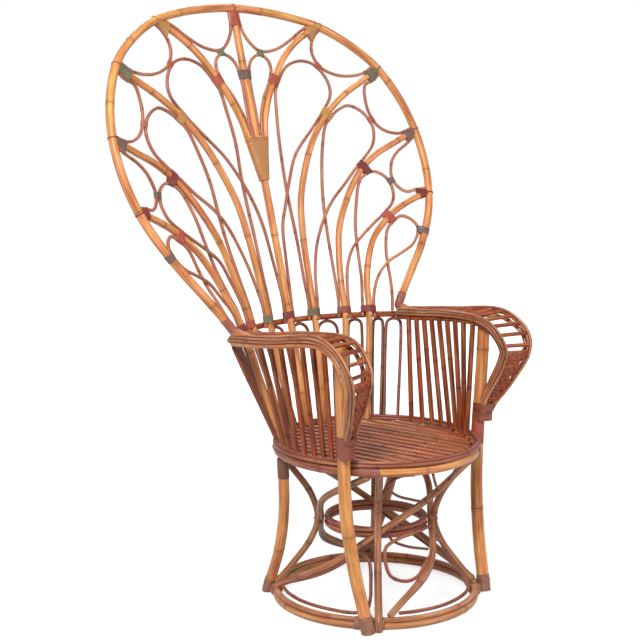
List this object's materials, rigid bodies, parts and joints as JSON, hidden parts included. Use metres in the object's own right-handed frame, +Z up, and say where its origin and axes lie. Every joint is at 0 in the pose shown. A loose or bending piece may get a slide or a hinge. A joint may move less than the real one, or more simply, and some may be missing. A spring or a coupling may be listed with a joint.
{
  "type": "peacock armchair",
  "caption": "Fan-backed cane armchair with a tall looped oval back, curled ladder arms, a round slatted seat and an open waisted drum base.",
  "frame": {"origin": "bottom centre of the bounding box, on the floor", "axes": "+Z up, +X to the right of someone who faces the chair from its front, the sitter faces -Y"},
  "size_m": [1.1178, 0.8284, 1.5325],
  "materials": {
    "golden_pole": "varnished rattan pole, golden, with darker joints",
    "tawny_pole": "varnished rattan pole, tawny",
    "russet_cane": "varnished thin cane, reddish brown",
    "dark_slat": "varnished split cane, dark red-brown",
    "straw_binding": "wound flat cane, straw coloured"
  },
  "bodies": {
    "root": {"arm_inner_rail_left": "tawny_pole", "arm_inner_rail_right": "tawny_pole", "arm_outer_rail_left": "tawny_pole", "arm_outer_rail_right": "tawny_pole", "arm_slats_left": "dark_slat", "arm_slats_right": "dark_slat", "arm_weave_left": "dark_slat", "arm_weave_right": "dark_slat", "arm_wrap_left": "russet_cane", "arm_wrap_right": "russet_cane", "back_leg_left": "golden_pole", "back_leg_right": "golden_pole", "back_rail": "russet_cane", "base_loop_1": "russet_cane", "base_loop_2": "russet_cane", "base_loop_3": "russet_cane", "base_ring": "tawny_pole", "centre_binding": "straw_binding", "curved_pole_1": "russet_cane", "curved_pole_2": "russet_cane", "curved_pole_3": "russet_cane", "curved_pole_4": "russet_cane", "front_leg_left": "golden_pole", "front_leg_right": "golden_pole", "hoop": "golden_pole", "petal_1_left": "russet_cane", "petal_1_right": "russet_cane", "petal_2_left": "russet_cane", "petal_2_right": "russet_cane", "petal_3_left": "russet_cane", "petal_3_right": "russet_cane", "petal_4_left": "russet_cane", "petal_4_right": "russet_cane", "petal_5_left": "russet_cane", "petal_5_right": "russet_cane", "rib_centre": "golden_pole", "rib_crown_left": "golden_pole", "rib_crown_right": "golden_pole", "rib_lower_left": "golden_pole", "rib_lower_right": "golden_pole", "rib_middle_left": "golden_pole", "rib_middle_right": "golden_pole", "rib_upper_left": "golden_pole", "rib_upper_right": "golden_pole", "scallop_1_left": "russet_cane", "scallop_1_right": "russet_cane", "scallop_2_left": "russet_cane", "scallop_2_right": "russet_cane", "scallop_3_left": "russet_cane", "scallop_3_right": "russet_cane", "scallop_4_left": "russet_cane", "scallop_4_right": "russet_cane", "seat_rim": "russet_cane", "seat_ring": "golden_pole", "seat_slats": "dark_slat", "turned_pole_1": "tawny_pole", "turned_pole_2": "tawny_pole", "turned_pole_3": "tawny_pole", "turned_pole_4": "tawny_pole", "waist_ring": "tawny_pole"}
  },
  "joints": []
}
